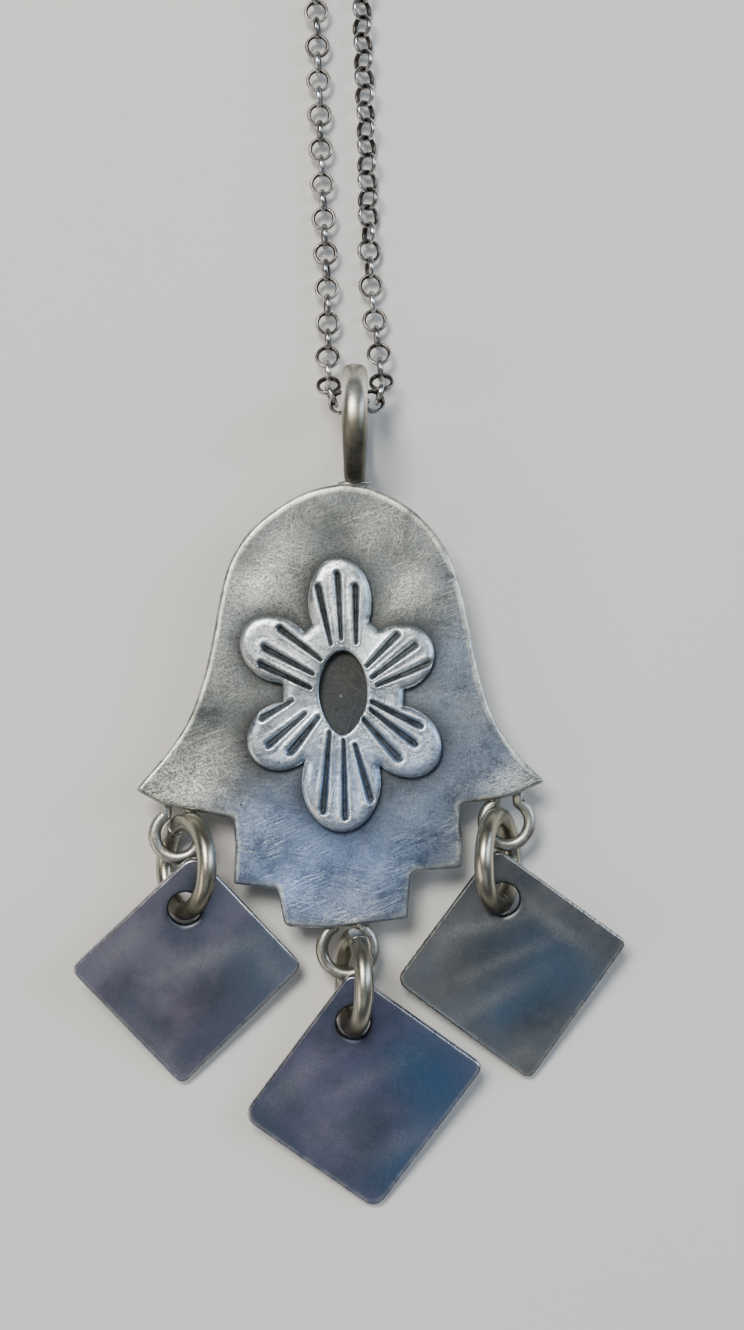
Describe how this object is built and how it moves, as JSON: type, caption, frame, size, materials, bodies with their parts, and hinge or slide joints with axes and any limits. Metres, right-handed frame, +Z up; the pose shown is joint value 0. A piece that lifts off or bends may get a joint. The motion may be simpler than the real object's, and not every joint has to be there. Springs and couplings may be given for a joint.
{
  "type": "hamsa hand pendant necklace",
  "caption": "Sheet hand pendant with a raised petalled flower and eye-shaped opening, a standing bail, square sheet drops on jump rings and a fine round-link chain, lying flat.",
  "frame": {"origin": "middle of the whole footprint, on the surface that the necklace lies on", "axes": "+X to the wearer's left, +Y from the pendant along the chain to the clasp, +Z up from the surface, the side that the front of the hand faces"},
  "size_m": [0.105, 0.2452, 0.0097],
  "materials": {
    "worn_silver": "worn, scratched and pitted sterling silver",
    "ring_silver": "lightly tarnished sterling silver",
    "dark_silver": "darkened, cloudy sterling silver",
    "chain_silver": "oxidised sterling silver with worn bright edges"
  },
  "bodies": {
    "root": {"hand_plate": "worn_silver", "jump_ring_left": "ring_silver", "jump_ring_right": "ring_silver", "jump_ring_middle": "ring_silver", "drop_left": "dark_silver", "drop_right": "dark_silver", "drop_middle": "dark_silver", "chain_links": "chain_silver", "chain_back": "chain_silver", "clasp": "chain_silver"}
  },
  "joints": []
}
